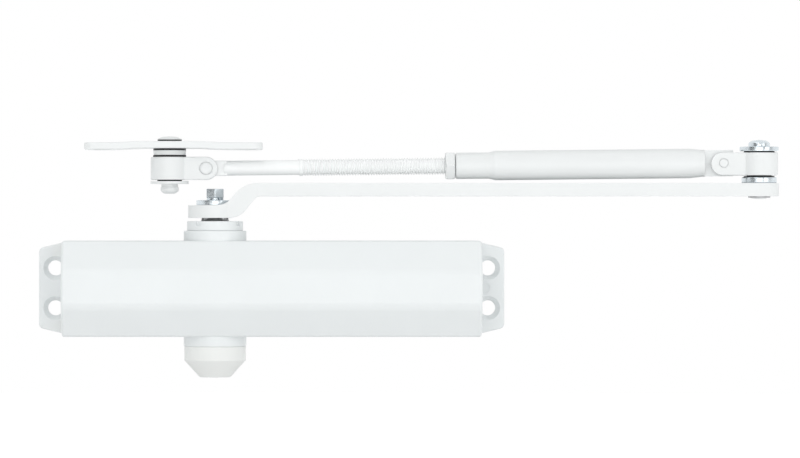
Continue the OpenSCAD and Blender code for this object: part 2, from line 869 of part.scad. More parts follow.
// A knuckle rivet with a low head at each end
module knuckle_rivet(d, head_d, x, z) {
  head_h = 0.9;
  width = link_gap + 2 * link_t;
  rod_y(d, width + 2 * fit, x, z);
  for (side = [-1, 1]) {
    translate([x, axis_y + side * width / 2, z]) rotate([-side * 90, 0, 0]) dome(head_d, head_h);
  }
}

module elbow_link() {
  color(white) translate([elbow_x, axis_y, elbow_link_z])
    strap_link(elbow_rivet_d, elbow_rivet_z - elbow_link_z);
}

module elbow_rivet() {
  color(white) knuckle_rivet(elbow_rivet_d, elbow_rivet_d + 1, elbow_rivet_x, elbow_rivet_z);
}

// Forearm. Its pieces are drawn along X from the elbow rivet at the origin towards -X.

tongue_t = link_gap - 0.3;
tongue_h = 12.3;
shoulder = 8.8;

module on_forearm() {
  translate([elbow_rivet_x, axis_y, elbow_rivet_z]) rotate([0, -forearm_tilt, 0]) children();
}

// A bar of round section along the forearm, from corners [x, radius]
module turned(c) {
  rotate([0, 90, 0]) rotate_extrude() polygon(concat(
    [[0, c[0].x]], [for (k = c) [k.y, k.x]], [[0, c[len(c) - 1].x]]
  ));
}

module tongue(from, to, height, thickness) {
  translate([from, -thickness / 2, -height / 2]) cube([to - from, thickness, height]);
}

module forearm_tube() {
  step_len = 3;
  taper_len = 7;
  tongue_end = 4.8;
  bore_end = -tube_reach + rod_inside + 14;
  edge = 0.6;
  color(white) on_forearm() difference() {
    union() {
      turned([
        [-tube_reach, nose_d / 2 - edge], [-tube_reach + edge, nose_d / 2],
        [-tube_reach + nose_len, nose_d / 2], [-tube_reach + nose_len + step_len, tube_d / 2],
        [-shoulder - taper_len, tube_d / 2], [-shoulder, tongue_h / 2 + 0.1]
      ]);
      tongue(-shoulder - past, tongue_end, tongue_h, tongue_t);
    }
    translate([-tube_reach - past, 0, 0]) rotate([0, 90, 0])
      cylinder(d = rod_d + 2 * run, h = bore_end + tube_reach + past);
    rotate([90, 0, 0]) cylinder(d = elbow_rivet_d + 2 * run, h = 2 * tube_d, center = true);
  }
}

module lock_nut() {
  gap = 0.3;
  corner_d = nut_af / cos(30);
  color(white) on_forearm() translate([-tube_reach - gap - nut_t, 0, 0]) rotate([0, 90, 0])
    difference() {
      intersection() {
        rotate(30) cylinder(d = corner_d, h = nut_t, $fn = 6);
        cylinder(d1 = nut_af * 0.95, d2 = nut_af * 0.95 + 4 * nut_t, h = nut_t);
      }
      translate([0, 0, -past]) cylinder(d = rod_d + 2 * run, h = nut_t + 2 * past);
    }
}

module forearm_rod() {
  eye_d = 9.4;
  neck = 7.2;
  shank_start = -forearm_len + 8.4;
  thread_start = -forearm_len + shank_len;
  rod_end = -tube_reach + rod_inside;
  edge = 0.8;
  color(white) on_forearm() difference() {
    union() {
      turned([
        [shank_start, shank_d / 2], [thread_start, shank_d / 2],
        [thread_start + edge, rod_d / 2], [rod_end - edge, rod_d / 2], [rod_end, rod_d / 2 - edge]
      ]);
      tongue(-forearm_len, shank_start + past, neck, tongue_t);
      translate([-forearm_len, 0, 0]) rotate([90, 0, 0])
        cylinder(d = eye_d, h = tongue_t, center = true);
    }
    translate([-forearm_len, 0, 0]) rotate([90, 0, 0])
      cylinder(d = shoe_rivet_d + 2 * run, h = 2 * tube_d, center = true);
  }
}

// Shoe

module shoe_link() {
  color(white) translate([shoe_x, axis_y, shoe_link_z]) mirror([1, 0, 0])
    strap_link(shoe_rivet_d, shoe_rivet_z - shoe_link_z);
}

module shoe_rivet() {
  color(white) knuckle_rivet(shoe_rivet_d, shoe_rivet_d + 1.9, shoe_rivet_x, shoe_rivet_z);
}

// The bracket's side view: a plate whose middle is set up a little
module shoe_side() {
  half = shoe_len / 2;
  flat = 12;
  ramp = 14;
  polygon([
    [shoe_shift - half, wing_z], [-flat - ramp, wing_z], [-flat, plate_z], [flat, plate_z],
    [flat + ramp, wing_z], [shoe_shift + half, wing_z],
    [shoe_shift + half, wing_z + shoe_t], [flat + ramp, wing_z + shoe_t],
    [flat, plate_z + shoe_t], [-flat, plate_z + shoe_t], [-flat - ramp, wing_z + shoe_t],
    [shoe_shift - half, wing_z + shoe_t]
  ]);
}

module shoe_plan() {
  half = shoe_len / 2;
  r = 4;
  translate([shoe_shift, 0]) polygon(rounded([
    [-half, -shoe_w / 2, r], [half, -shoe_w / 2, r], [half, shoe_w / 2, r], [-half, shoe_w / 2, r]
  ]));
}

module shoe_hole() {
  csk = 10;
  csk_h = (csk - shoe_hole_d) / 2;
  translate([0, 0, -past]) cylinder(d = shoe_hole_d, h = shoe_t + 2 * past);
  cylinder(d1 = csk, d2 = shoe_hole_d, h = csk_h);
  translate([0, 0, -past]) cylinder(d = csk, h = past + fit);
}

module shoe_bracket() {
  color(white) difference() {
    intersection() {
      translate([shoe_x, 0, 0]) across_y(shoe_w + past) shoe_side();
      translate([shoe_x, axis_y, wing_z - past])
        linear_extrude(shoe_t + shoe_set + 2 * past) shoe_plan();
    }
    for (x = [-1, 1], y = [-1, 1]) {
      translate([shoe_x + shoe_shift + x * shoe_pitch_x / 2, axis_y + y * shoe_pitch_y / 2, wing_z])
        shoe_hole();
    }
    translate([shoe_x, axis_y, wing_z - past]) cylinder(d = pin_d + 2 * fit, h = 3 * shoe_t);
  }
}

module shoe_pin() {
  button_d = 8.5;
  button_h = 3.1;
  neck_d = 7;
  neck_top = shoe_washer_z;
  button_top = neck_top - 1.5;
  plate_top = plate_z + shoe_t;
  color(white) translate([shoe_x, axis_y, 0]) {
    translate([0, 0, plate_top]) dome(11.5, 2.4);
    translate([0, 0, neck_top]) cylinder(d = pin_d, h = plate_top - neck_top + fit);
    translate([0, 0, button_top - fit]) cylinder(d = neck_d, h = neck_top - button_top + 2 * fit);
    translate([0, 0, button_top - button_h / 2]) cylinder(d = button_d, h = button_h / 2);
    translate([0, 0, button_top - button_h / 2]) mirror([0, 0, 1]) dome(button_d, button_h / 2);
  }
}

module shoe_spacer() {
  foot_r = 7.55;
  top_r = 7.8;
  inner = pin_d / 2 + fit;
  color(white) translate([shoe_x, axis_y, shoe_flange_top]) rotate_extrude() polygon(rounded([
    [inner, 0, 0], [foot_r, 0, 0.2], [top_r, shoe_spacer_h, 0.2], [inner, shoe_spacer_h, 0]
  ]));
}

module shoe_shim() {
  color(nylon) translate([shoe_x, axis_y, shoe_flange_top + shoe_spacer_h])
    ring(15.4, pin_d + 2 * fit, shoe_shim_t - fit);
}

module shoe_bush() {
  flange_d = 15.6;
  top = shoe_flange_top - shoe_link_top - run;
  color(nylon) translate([shoe_x, axis_y, shoe_link_z - shoe_foot_flange])
    bush(link_h + shoe_foot_flange + run, flange_d, top - fit);
}

module shoe_washer() {
  color(white) translate([shoe_x, axis_y, shoe_washer_z])
    ring(18, pin_d + 2 * fit, shoe_washer_t - fit);
}

body_casting();
left_end_plug();
right_end_plug();
plug_seals();
upper_gland();
lower_gland();
pinion_bearings();
pinion_seals();
pinion_cap();
closing_spring();
spring_seat();
closing_valve();
closing_valve_seal();
latching_valve();
latching_valve_seal();
rack_piston();
check_ball();
check_retainer();
pinion_shaft();
main_arm();
arm_washer();
lock_washer();
arm_screw();
elbow_pin();
elbow_spacer();
elbow_bush();
elbow_washer();
elbow_link();
elbow_rivet();
forearm_tube();
lock_nut();
forearm_rod();
shoe_link();
shoe_rivet();
shoe_bracket();
shoe_pin();
shoe_spacer();
shoe_shim();
shoe_bush();
shoe_washer();
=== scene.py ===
"""A surface-mounted door closer with its folding arm, on a pale studio floor.

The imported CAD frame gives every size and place. The casting, glands, main arm, knuckle straps,
rivets, threaded rod, jam nut, frame bracket, shoe pin, elbow pin and closing spring are rebuilt
here, because their real surfaces need mesh work. The other CAD nodes stay, with softened edges.
Lengths are metres: X to the elbow, Y into the door, Z up.
"""

import json
import math

import bmesh
import bpy
from mathutils import Matrix, Vector


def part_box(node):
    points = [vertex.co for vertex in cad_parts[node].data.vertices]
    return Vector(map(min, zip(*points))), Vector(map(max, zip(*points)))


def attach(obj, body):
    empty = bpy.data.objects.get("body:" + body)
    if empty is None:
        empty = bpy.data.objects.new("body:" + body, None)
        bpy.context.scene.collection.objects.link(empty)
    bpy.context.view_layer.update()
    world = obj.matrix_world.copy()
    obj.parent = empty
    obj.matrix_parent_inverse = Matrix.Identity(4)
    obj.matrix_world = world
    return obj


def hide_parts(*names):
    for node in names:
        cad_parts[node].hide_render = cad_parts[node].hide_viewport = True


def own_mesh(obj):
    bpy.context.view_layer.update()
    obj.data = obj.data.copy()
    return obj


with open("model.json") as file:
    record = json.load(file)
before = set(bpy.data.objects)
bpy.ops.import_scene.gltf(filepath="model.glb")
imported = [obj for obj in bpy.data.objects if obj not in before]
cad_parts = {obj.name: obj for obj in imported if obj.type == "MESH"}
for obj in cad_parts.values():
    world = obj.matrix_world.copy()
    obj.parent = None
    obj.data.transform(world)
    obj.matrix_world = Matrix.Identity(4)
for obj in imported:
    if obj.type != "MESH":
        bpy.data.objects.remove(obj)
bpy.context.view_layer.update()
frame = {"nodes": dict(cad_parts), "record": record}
nodes = frame["nodes"]
MM = 0.001


# Camera: square on to the body's middle, far off, with the frame shifted towards the arm

CAMERA_Z = 0.028
CAMERA_DISTANCE = 2.144
SENSOR = 36
LENS = 202.5
SHIFT = 0.1604


def make_camera():
    data = bpy.data.cameras.new("camera")
    data.sensor_width = SENSOR
    data.lens = LENS
    data.shift_x = SHIFT
    data.clip_end = 20
    camera = bpy.data.objects.new("camera", data)
    camera.location = (0, -CAMERA_DISTANCE, CAMERA_Z)
    camera.rotation_euler = (math.pi / 2, 0, 0)
    bpy.context.scene.collection.objects.link(camera)
    bpy.context.scene.camera = camera


make_camera()


# Finishes


class Finish:
    """One node material: a Principled shader and the texture nodes that feed it."""

    def __init__(self, name, **constants):
        self.material = bpy.data.materials.new(name)
        self.material.use_nodes = True
        self.tree = self.material.node_tree
        self.shader = self.tree.nodes["Principled BSDF"]
        self.places = self.node("ShaderNodeTexCoord").outputs["Object"]
        for socket, value in constants.items():
            self.shader.inputs[socket.replace("_", " ")].default_value = value

    def node(self, kind, **inputs):
        made = self.tree.nodes.new(kind)
        for socket, value in inputs.items():
            self.feed(made.inputs[socket.replace("_", " ")], value)
        return made

    def feed(self, socket, value):
        if isinstance(value, bpy.types.NodeSocket):
            self.tree.links.new(value, socket)
        else:
            socket.default_value = value

    def stretched(self, scale):
        return self.node("ShaderNodeMapping", Vector=self.places, Scale=scale).outputs["Vector"]

    def noise(self, size, detail=2.0, stretch=None):
        """Noise from 0 to 1 whose spots are about size across."""
        places = self.stretched(stretch) if stretch else self.places
        made = self.node("ShaderNodeTexNoise", Vector=places, Scale=1 / size, Detail=detail)
        return made.outputs["Fac"]

    def between(self, value, low, high, spread=0.25):
        """value, where it lies about a half, turned into a number from low to high."""
        made = self.node("ShaderNodeMapRange", Value=value, To_Min=low, To_Max=high)
        made.inputs["From Min"].default_value = 0.5 - spread
        made.inputs["From Max"].default_value = 0.5 + spread
        return made.outputs["Result"]

    def tinted(self, value, low, high):
        """A colour between two, by a value that lies about a half."""
        ramp = self.tree.nodes.new("ShaderNodeValToRGB")
        self.feed(ramp.inputs["Fac"], value)
        for stop, place, colour in zip(ramp.color_ramp.elements, (0.25, 0.75), (low, high)):
            stop.position = place
            stop.color = (*colour, 1)
        self.feed(self.shader.inputs["Base Color"], ramp.outputs["Color"])

    def roughened(self, value, low, high):
        self.feed(self.shader.inputs["Roughness"], self.between(value, low, high))

    def bumped(self, *layers):
        """Each layer is a height from 0 to 1 and what that height is in metres."""
        normal = None
        for height, depth in layers:
            bump = self.node("ShaderNodeBump", Height=height, Distance=depth)
            if normal:
                self.feed(bump.inputs["Normal"], normal)
            normal = bump.outputs["Normal"]
        self.feed(self.shader.inputs["Normal"], normal)


def powder_coat(name, light, dark, peel):
    """Satin powder coat: a fine orange peel over a faint waviness, a little uneven in gloss."""
    finish = Finish(name, IOR=1.48, Coat_Weight=0.15, Coat_Roughness=0.22)
    cloud = finish.noise(0.02, detail=3)
    finish.tinted(cloud, dark, light)
    finish.roughened(finish.noise(0.006), 0.34, 0.44)
    finish.bumped(
        (finish.noise(0.0013, detail=3), peel),
        (finish.noise(0.009, detail=1), 0.00003),
        (finish.noise(0.00022, detail=0), 0.000003),
    )
    return finish.material


def moulded_plastic(name, light, dark, roughness):
    """Moulded plastic with the fine grain of a spark-eroded tool."""
    finish = Finish(name, IOR=1.5, Specular_IOR_Level=0.4)
    finish.tinted(finish.noise(0.012, detail=2), dark, light)
    finish.roughened(finish.noise(0.003), roughness - 0.06, roughness + 0.06)
    finish.bumped(
        (finish.noise(0.00035, detail=2), 0.000008), (finish.noise(0.006, detail=1), 0.00002)
    )
    return finish.material


def plated_steel(name, light, dark, smooth, rough, grain):
    """Bright plated or ground steel, with turning marks and the odd dull spot."""
    finish = Finish(name, Metallic=1.0)
    finish.tinted(finish.noise(0.004, detail=4), dark, light)
    finish.roughened(finish.noise(0.0012, detail=3), smooth, rough)
    lines = finish.noise(0.0016, detail=2, stretch=(1, 1, 9))
    finish.bumped((lines, grain), (finish.noise(0.0007, detail=2), grain / 2))
    return finish.material


def rubber_finish(name):
    finish = Finish(name, Specular_IOR_Level=0.3)
    finish.tinted(finish.noise(0.002, detail=3), (0.012, 0.012, 0.013), (0.03, 0.03, 0.032))
    finish.roughened(finish.noise(0.001), 0.6, 0.8)
    finish.bumped((finish.noise(0.0005), 0.00001))
    return finish.material


FINISHES = {
    "casting_paint": powder_coat(
        "casting_paint", (0.80, 0.825, 0.83), (0.785, 0.81, 0.815), 0.000022
    ),
    "arm_paint": powder_coat("arm_paint", (0.79, 0.805, 0.805), (0.775, 0.79, 0.79), 0.000016),
    # The arm's white paint made lighter for the thin rod: painted light, so the shank shows as bright as it
    # is lit.
    "rod_paint": powder_coat("rod_paint", (0.89, 0.90, 0.90), (0.875, 0.885, 0.885), 0.000012),
    "cap_plastic": moulded_plastic(
        "cap_plastic", (0.83, 0.84, 0.825), (0.815, 0.825, 0.81), 0.42
    ),
    "zinc_steel": plated_steel(
        "zinc_steel", (0.80, 0.85, 0.88), (0.68, 0.73, 0.77), 0.14, 0.26, 0.000006
    ),
    "ground_steel": plated_steel(
        "ground_steel", (0.46, 0.46, 0.47), (0.33, 0.33, 0.34), 0.25, 0.40, 0.000008
    ),
    "spring_steel": plated_steel(
        "spring_steel", (0.20, 0.20, 0.22), (0.12, 0.12, 0.13), 0.38, 0.55, 0.000012
    ),
    "brass": plated_steel("brass", (0.74, 0.58, 0.27), (0.60, 0.45, 0.20), 0.20, 0.34, 0.000006),
    "black_nylon": moulded_plastic(
        "black_nylon", (0.022, 0.022, 0.024), (0.012, 0.012, 0.013), 0.48
    ),
    "rubber": rubber_finish("rubber"),
}


# Mesh tools. Meshes are drawn in millimetres, and become metres when they are shown.


def rounded(corners, steps=6):
    """The outline through corners (x, y, radius), as points."""
    points = []
    for i, (x, y, radius) in enumerate(corners):
        at = Vector((x, y))
        before = Vector(corners[i - 1][:2])
        after = Vector(corners[(i + 1) % len(corners)][:2])
        if not radius:
            points.append(at)
            continue
        u, v = (before - at).normalized(), (after - at).normalized()
        half = u.angle(v) / 2
        centre = at + (u + v).normalized() * radius / math.sin(half)
        start = at + u * radius / math.tan(half) - centre
        turn = start.angle_signed(at + v * radius / math.tan(half) - centre)
        for k in range(steps + 1):
            a = -turn * k / steps
            x1 = start.x * math.cos(a) - start.y * math.sin(a)
            y1 = start.x * math.sin(a) + start.y * math.cos(a)
            points.append(centre + Vector((x1, y1)))
    return points


def arc(centre, radius, start, end, steps):
    """Points of an arc, its angles in degrees."""
    angles = [math.radians(start + (end - start) * k / steps) for k in range(steps + 1)]
    return [Vector(centre) + radius * Vector((math.cos(a), math.sin(a))) for a in angles]


def slab(outline, low, high):
    """An outline in X and Y, as thick as from low to high in Z."""
    mesh = bmesh.new()
    rings = [[mesh.verts.new((p[0], p[1], z)) for p in outline] for z in (low, high)]
    mesh.faces.new(rings[0][::-1])
    mesh.faces.new(rings[1])
    for i in range(len(outline)):
        j = (i + 1) % len(outline)
        mesh.faces.new((rings[0][i], rings[0][j], rings[1][j], rings[1][i]))
    bmesh.ops.recalc_face_normals(mesh, faces=mesh.faces)
    return mesh


def lathe(profile, steps=96):
    """A profile of (radius, height) turned about Z. It closes on the axis or on itself."""
    mesh = bmesh.new()
    rings = []
    for radius, height in profile:
        if radius < 1e-6:
            rings.append([mesh.verts.new((0, 0, height))] * steps)
            continue
        angles = [2 * math.pi * k / steps for k in range(steps)]
        rings.append([mesh.verts.new((radius * math.cos(a), radius * math.sin(a), height)) for a in angles])
    for ring, following in zip(rings, rings[1:] + rings[:1]):
        for k in range(steps):
            j = (k + 1) % steps
            corners = dict.fromkeys((ring[k], ring[j], following[j], following[k]))
            if len(corners) > 2:
                mesh.faces.new(list(corners))
    bmesh.ops.recalc_face_normals(mesh, faces=mesh.faces)
    return mesh


def turned(corners, steps=96):
    """A lathe piece whose profile has rounded corners (radius, height, rounding)."""
    return lathe([tuple(p) for p in rounded(corners, 4)], steps)


def placed(mesh, *moves):
    for move in moves:
        bmesh.ops.transform(mesh, matrix=move, verts=mesh.verts)
    return mesh


def moved(x=0.0, y=0.0, z=0.0):
    return Matrix.Translation((x, y, z))


def spun(degrees, axis):
    return Matrix.Rotation(math.radians(degrees), 4, axis)


SIDE_VIEW = spun(90, "X")
ALONG_X = spun(90, "Y")
END_VIEW = Matrix(((0, 0, 1, 0), (1, 0, 0, 0), (0, 1, 0, 0), (0, 0, 0, 1)))


def eased(mesh, radius, where=None, angle=30, segments=3):
    """Rounds the sharp edges that where, given an edge's middle, picks."""
    sharp = [
        e
        for e in mesh.edges
        if len(e.link_faces) == 2
        and e.calc_face_angle(0) > math.radians(angle)
        and (where is None or where((e.verts[0].co + e.verts[1].co) / 2))
    ]
    bmesh.ops.bevel(
        mesh, geom=sharp, offset=radius, segments=segments, profile=0.5, affect="EDGES",
        clamp_overlap=True,
    )
    return mesh


def as_object(mesh, name):
    data = bpy.data.meshes.new(name)
    mesh.to_mesh(data)
    mesh.free()
    made = bpy.data.objects.new(name, data)
    bpy.context.scene.collection.objects.link(made)
    return made


def joined(*meshes):
    """Several closed shells in one mesh."""
    whole = meshes[0]
    for mesh in meshes[1:]:
        data = bpy.data.meshes.new("shell")
        mesh.to_mesh(data)
        mesh.free()
        whole.from_mesh(data)
        bpy.data.meshes.remove(data)
    return whole


def evaluated(mesh, kind, **settings):
    """The mesh after one modifier."""
    made = as_object(mesh, "worked")
    modifier = made.modifiers.new("work", kind)
    for key, value in settings.items():
        setattr(modifier, key, value)
    bpy.context.view_layer.update()
    result = bpy.data.meshes.new_from_object(
        made.evaluated_get(bpy.context.evaluated_depsgraph_get())
    )
    mesh = bmesh.new()
    mesh.from_mesh(result)
    bpy.data.meshes.remove(result)
    bpy.data.meshes.remove(made.data)
    return mesh


def combined(base, other, operation):
    """base cut by or kept within other. Shells that overlap in either count as one solid."""
    tool = as_object(other, "tool")
    mesh = evaluated(
        base, "BOOLEAN", operation=operation, solver="EXACT", use_self=True, object=tool
    )
    bpy.data.meshes.remove(tool.data)
    bmesh.ops.remove_doubles(mesh, verts=mesh.verts, dist=0.0001)
    return mesh


def cut(mesh, *cutters):
    return combined(mesh, joined(*cutters), "DIFFERENCE")


def shown(name, mesh, body, slot, *replaced, smooth=30, finish=None):
    """Shows a mesh as a piece that rides on a body and stands for CAD nodes."""
    placed(mesh, Matrix.Scale(MM, 4))
    for face in mesh.faces:
        face.smooth = True
    piece = as_object(mesh, name)
    piece.data.set_sharp_from_angle(angle=math.radians(smooth))
    even = piece.modifiers.new("normals", "WEIGHTED_NORMAL")
    even.keep_sharp = True
    piece.data.materials.append(FINISHES[finish or slot])
    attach(piece, body)
    if replaced:
        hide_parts(*replaced)
    return piece


def middle(node):
    """A CAD node's middle, in millimetres."""
    low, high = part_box(node)
    return (low + high) / 2 / MM


def lowest(node):
    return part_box(node)[0] / MM


def highest(node):
    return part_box(node)[1] / MM


# The closer's main lines, in millimetres, from the frame

AXIS = middle("pinion_shaft")
PINION_X, AXIS_Y = AXIS.x, AXIS.y
ELBOW_X = middle("elbow_washer").x
SHOE_X = middle("shoe_washer").x
BODY_LOW, BODY_HIGH = lowest("body_casting"), highest("body_casting")
FOOT_END = BODY_HIGH.x
FOOT_OUT = 12.25
HALF_LEN = FOOT_END - FOOT_OUT
BODY_D = -BODY_LOW.y
BOSS_Z = BODY_HIGH.z
BOSS_H = 4.7
HALF_H = BOSS_Z - BOSS_H


def at_pinion(mesh, z=0.0):
    return placed(mesh, moved(PINION_X, AXIS_Y, z))


# Body casting

FACET_D = 10
FRONT_H = 17
FRONT_EDGE = 2.4
CAST_EDGE = 1.2
BORE_R = 17.5
BEARING_R = 11
STEM_R = 12.53
STEM_DEPTH = 5
BOSS_R = 14.75
FOOT_T = 7
FOOT_ROOT_H = 44.4
FOOT_TIP_H = 37.8
HOLE_X = HALF_LEN + 4.5
HOLE_Z = 9.5
HOLE_R = 3.6
SINK_R = 5.7
VALVE_Y = -11.5
VALVE_Z = HALF_H - 4.5
VALVE_R = 2.55


def body_bar():
    section = [
        (0, -HALF_H), (0, HALF_H), (FACET_D - BODY_D, HALF_H), (-BODY_D, FRONT_H / 2),
        (-BODY_D, -FRONT_H / 2), (FACET_D - BODY_D, -HALF_H),
    ]
    bar = placed(slab(section, -HALF_LEN, HALF_LEN), END_VIEW)
    long_front = lambda p: abs(p.x) < 1 and p.y < 1 - BODY_D
    eased(bar, FRONT_EDGE, long_front, segments=5)
    return eased(bar, CAST_EDGE, lambda p: p.y < -1, angle=25, segments=4)


def foot(side):
    root = HALF_LEN - 1.5
    outline = rounded([
        (root, -FOOT_ROOT_H / 2, 0), (FOOT_END, -FOOT_TIP_H / 2, 2.4),
        (FOOT_END, FOOT_TIP_H / 2, 2.4), (root, FOOT_ROOT_H / 2, 0),
    ])
    plate = placed(slab(outline, 0, FOOT_T), SIDE_VIEW)
    eased(plate, 0.7, lambda p: p.y < 0.5 - FOOT_T, angle=60)
    return plate if side > 0 else placed(plate, spun(180, "Y"))


def foot_hole(x, z):
    """A countersunk hole's cutter, with room for the screw's head in front."""
    rim = 0.25
    profile = [
        (0, -1), (HOLE_R + rim, -1), (HOLE_R + rim, 0), (HOLE_R, rim),
        (HOLE_R, FOOT_T + HOLE_R - SINK_R), (SINK_R, FOOT_T), (SINK_R, FOOT_T + 2.5),
        (0, FOOT_T + 2.5),
    ]
    return placed(lathe(profile), SIDE_VIEW, moved(x, 0, z))


def end_to_end(radius, half, rim=0.6):
    """A cutter along X with a flared rim at both ends, centred."""
    profile = [
        (0, -half - 1), (radius + rim + 1, -half - 1), (radius, -half + rim),
        (radius, half - rim), (radius + rim + 1, half + 1), (0, half + 1),
    ]
    return placed(lathe(profile, 128), ALONG_X)


def pinion_bore():
    stem = BOSS_Z - STEM_DEPTH
    return at_pinion(lathe([
        (0, -BOSS_Z - 1), (STEM_R, -BOSS_Z - 1), (STEM_R, -stem), (BEARING_R, -stem),
        (BEARING_R, stem), (STEM_R, stem), (STEM_R, BOSS_Z + 1), (0, BOSS_Z + 1),
    ]))


def valve_pocket(z):
    depth = 22
    profile = [(0, -1), (VALVE_R + 1.3, -1), (VALVE_R, 0.3), (VALVE_R, depth), (0, depth)]
    return placed(lathe(profile, 48), ALONG_X, moved(-HALF_LEN, VALVE_Y, z))


def ejector_mark():
    radius, depth = 2.4, 0.6
    mark = lathe([(0, FOOT_T - depth), (radius, FOOT_T - depth), (radius, FOOT_T + 1), (0, FOOT_T + 1)], 48)
    return placed(mark, SIDE_VIEW, moved(HOLE_X - 1.5, 0, 0))


def make_casting():
    boss = at_pinion(turned([
        (0, -BOSS_Z, 0), (BOSS_R, -BOSS_Z, 0.5), (BOSS_R, BOSS_Z, 0.5), (0, BOSS_Z, 0)
    ], 128))
    solid = joined(body_bar(), foot(1), foot(-1), boss)
    holes = [foot_hole(x * HOLE_X, z * HOLE_Z) for x in (-1, 1) for z in (-1, 1)]
    bore = placed(end_to_end(BORE_R, HALF_LEN), moved(0, AXIS_Y, 0))
    pockets = [valve_pocket(VALVE_Z), valve_pocket(-VALVE_Z)]
    solid = cut(solid, bore, pinion_bore(), *holes, *pockets, ejector_mark())
    shown("casting", solid, "closer_body", "casting_paint", "body_casting")


make_casting()


# Glands: a stem in the casting, and a head with four spanner slots

GLAND_R = 13.2
GLAND_H = 4.5
GLAND_BORE_R = 6.9
SEAL_ROOM_R = 10.03
SLOT_W = 3
SLOT_H = 2.3
SLOT_DEPTH = 1.3
SLOT_TURN = 54


def gland():
    stem = BOSS_Z - STEM_DEPTH
    top = BOSS_Z + GLAND_H
    seal_top = stem + 3.83
    ring = turned([
        (SEAL_ROOM_R, stem, 0.2), (STEM_R - 0.03, stem, 0.2), (STEM_R - 0.03, BOSS_Z + 0.03, 0),
        (GLAND_R, BOSS_Z + 0.03, 0.25), (GLAND_R, top, 0.45), (GLAND_BORE_R, top, 0.3),
        (GLAND_BORE_R, seal_top, 0), (SEAL_ROOM_R, seal_top, 0),
    ])
    slots = []
    for turn in range(4):
        outline = rounded([
            (GLAND_R - SLOT_DEPTH, -SLOT_W / 2, 0.5), (GLAND_R + 2, -SLOT_W / 2, 0),
            (GLAND_R + 2, SLOT_W / 2, 0), (GLAND_R - SLOT_DEPTH, SLOT_W / 2, 0.5),
        ])
        slot = slab(outline, top - SLOT_H, top + 1)
        slots.append(placed(slot, spun(90 * turn - 90 + SLOT_TURN, "Z")))
    return at_pinion(cut(ring, *slots))


shown("gland_top", gland(), "closer_body", "casting_paint", "upper_gland")
lower = placed(gland(), Matrix.Scale(-1, 4, (0, 0, 1)))
bmesh.ops.reverse_faces(lower, faces=lower.faces)
shown("gland_foot", lower, "closer_body", "casting_paint", "lower_gland")


# Main arm: its side view and its plan, run through each other, with forged edges

EYE_Z = lowest("main_arm").z
BAR_TOP = highest("main_arm").z
ARM_EYE_T = 6
ARM_BAR_T = 6.2
BAR_Z = BAR_TOP - ARM_BAR_T
ARM_RISE = BAR_Z - EYE_Z
EYE_R = 12.7
BAR_W = 18.6
CRANK_X = 11.5
CRANK_T = 8.65
CRANK_ANGLE = math.radians(52)
FORGED_EDGE = 1.3


def arm_side():
    lean = math.tan(CRANK_ANGLE)
    top = EYE_Z + ARM_EYE_T
    back = CRANK_X - CRANK_T / math.sin(CRANK_ANGLE)
    left, right = -2 * EYE_R, ELBOW_X - PINION_X + BAR_W
    return rounded([
        (left, EYE_Z, 0), (CRANK_X, EYE_Z, 10), (CRANK_X + ARM_RISE / lean, BAR_Z, 4),
        (right, BAR_Z, 0), (right, BAR_TOP, 0),
        (back + (ARM_RISE + ARM_BAR_T) / lean, BAR_TOP, 14), (back + ARM_EYE_T / lean, top, 8.7),
        (left, top, 0),
    ], 12)


def arm_plan():
    """The eye's circle, drawn in to the bar by two lines that leave it smoothly."""
    neck = CRANK_X + 9
    end = ELBOW_X - PINION_X
    leave = 62
    eye = arc((0, 0), EYE_R, leave, 360 - leave, 40)
    tip = arc((end, 0), BAR_W / 2, -90, 90, 24)
    return eye + [Vector((neck, -BAR_W / 2))] + tip + [Vector((neck, BAR_W / 2))]


def make_arm():
    side = placed(slab(arm_side(), -EYE_R - 1, EYE_R + 1), SIDE_VIEW)
    plan = slab(arm_plan(), EYE_Z - 1, BAR_TOP + 1)
    arm = eased(combined(side, plan, "INTERSECT"), FORGED_EDGE, angle=40, segments=4)
    spot_r = (highest("arm_washer") - lowest("arm_washer")).x / 2 + 0.25
    top = EYE_Z + ARM_EYE_T
    spot = lathe([(0, top), (spot_r, top), (spot_r, BAR_TOP + 1), (0, BAR_TOP + 1)])
    shown("arm", at_pinion(cut(arm, spot)), "drive", "arm_paint", "main_arm")


make_arm()


# Knuckle straps: a loop of constant thickness round its pin, and two flanges

LINK_H = 10.8
LOOP_R = 8.9
STRAP_T = 3
FLANGE_Y = 5.65
REACH = 17.2
BEND = 1
STRAP_EDGE = 0.45


def strap_outline(end):
    """The strap from above: out along one flange, round the loop and back, then inside."""
    inner_r, inner_y = LOOP_R - STRAP_T, FLANGE_Y - STRAP_T
    y = FLANGE_Y + BEND
    x = -math.sqrt((LOOP_R + BEND) ** 2 - y * y)
    lean = math.degrees(math.atan2(y, -x))
    outer = [Vector((-end, FLANGE_Y))]
    outer += arc((x, y), BEND, -90, -lean, 8)
    outer += arc((0, 0), LOOP_R, 180 - lean, 0, 40)[1:]
    inner = arc((0, 0), inner_r, 0, 180 - lean, 40)
    inner += arc((x, y), BEND + STRAP_T, -lean, -90, 8)[1:]
    inner += [Vector((-end, inner_y))]
    flip = lambda points: [Vector((p.x, -p.y)) for p in points[::-1]]
    return outer + flip(outer)[1:] + flip(inner) + inner[1:]


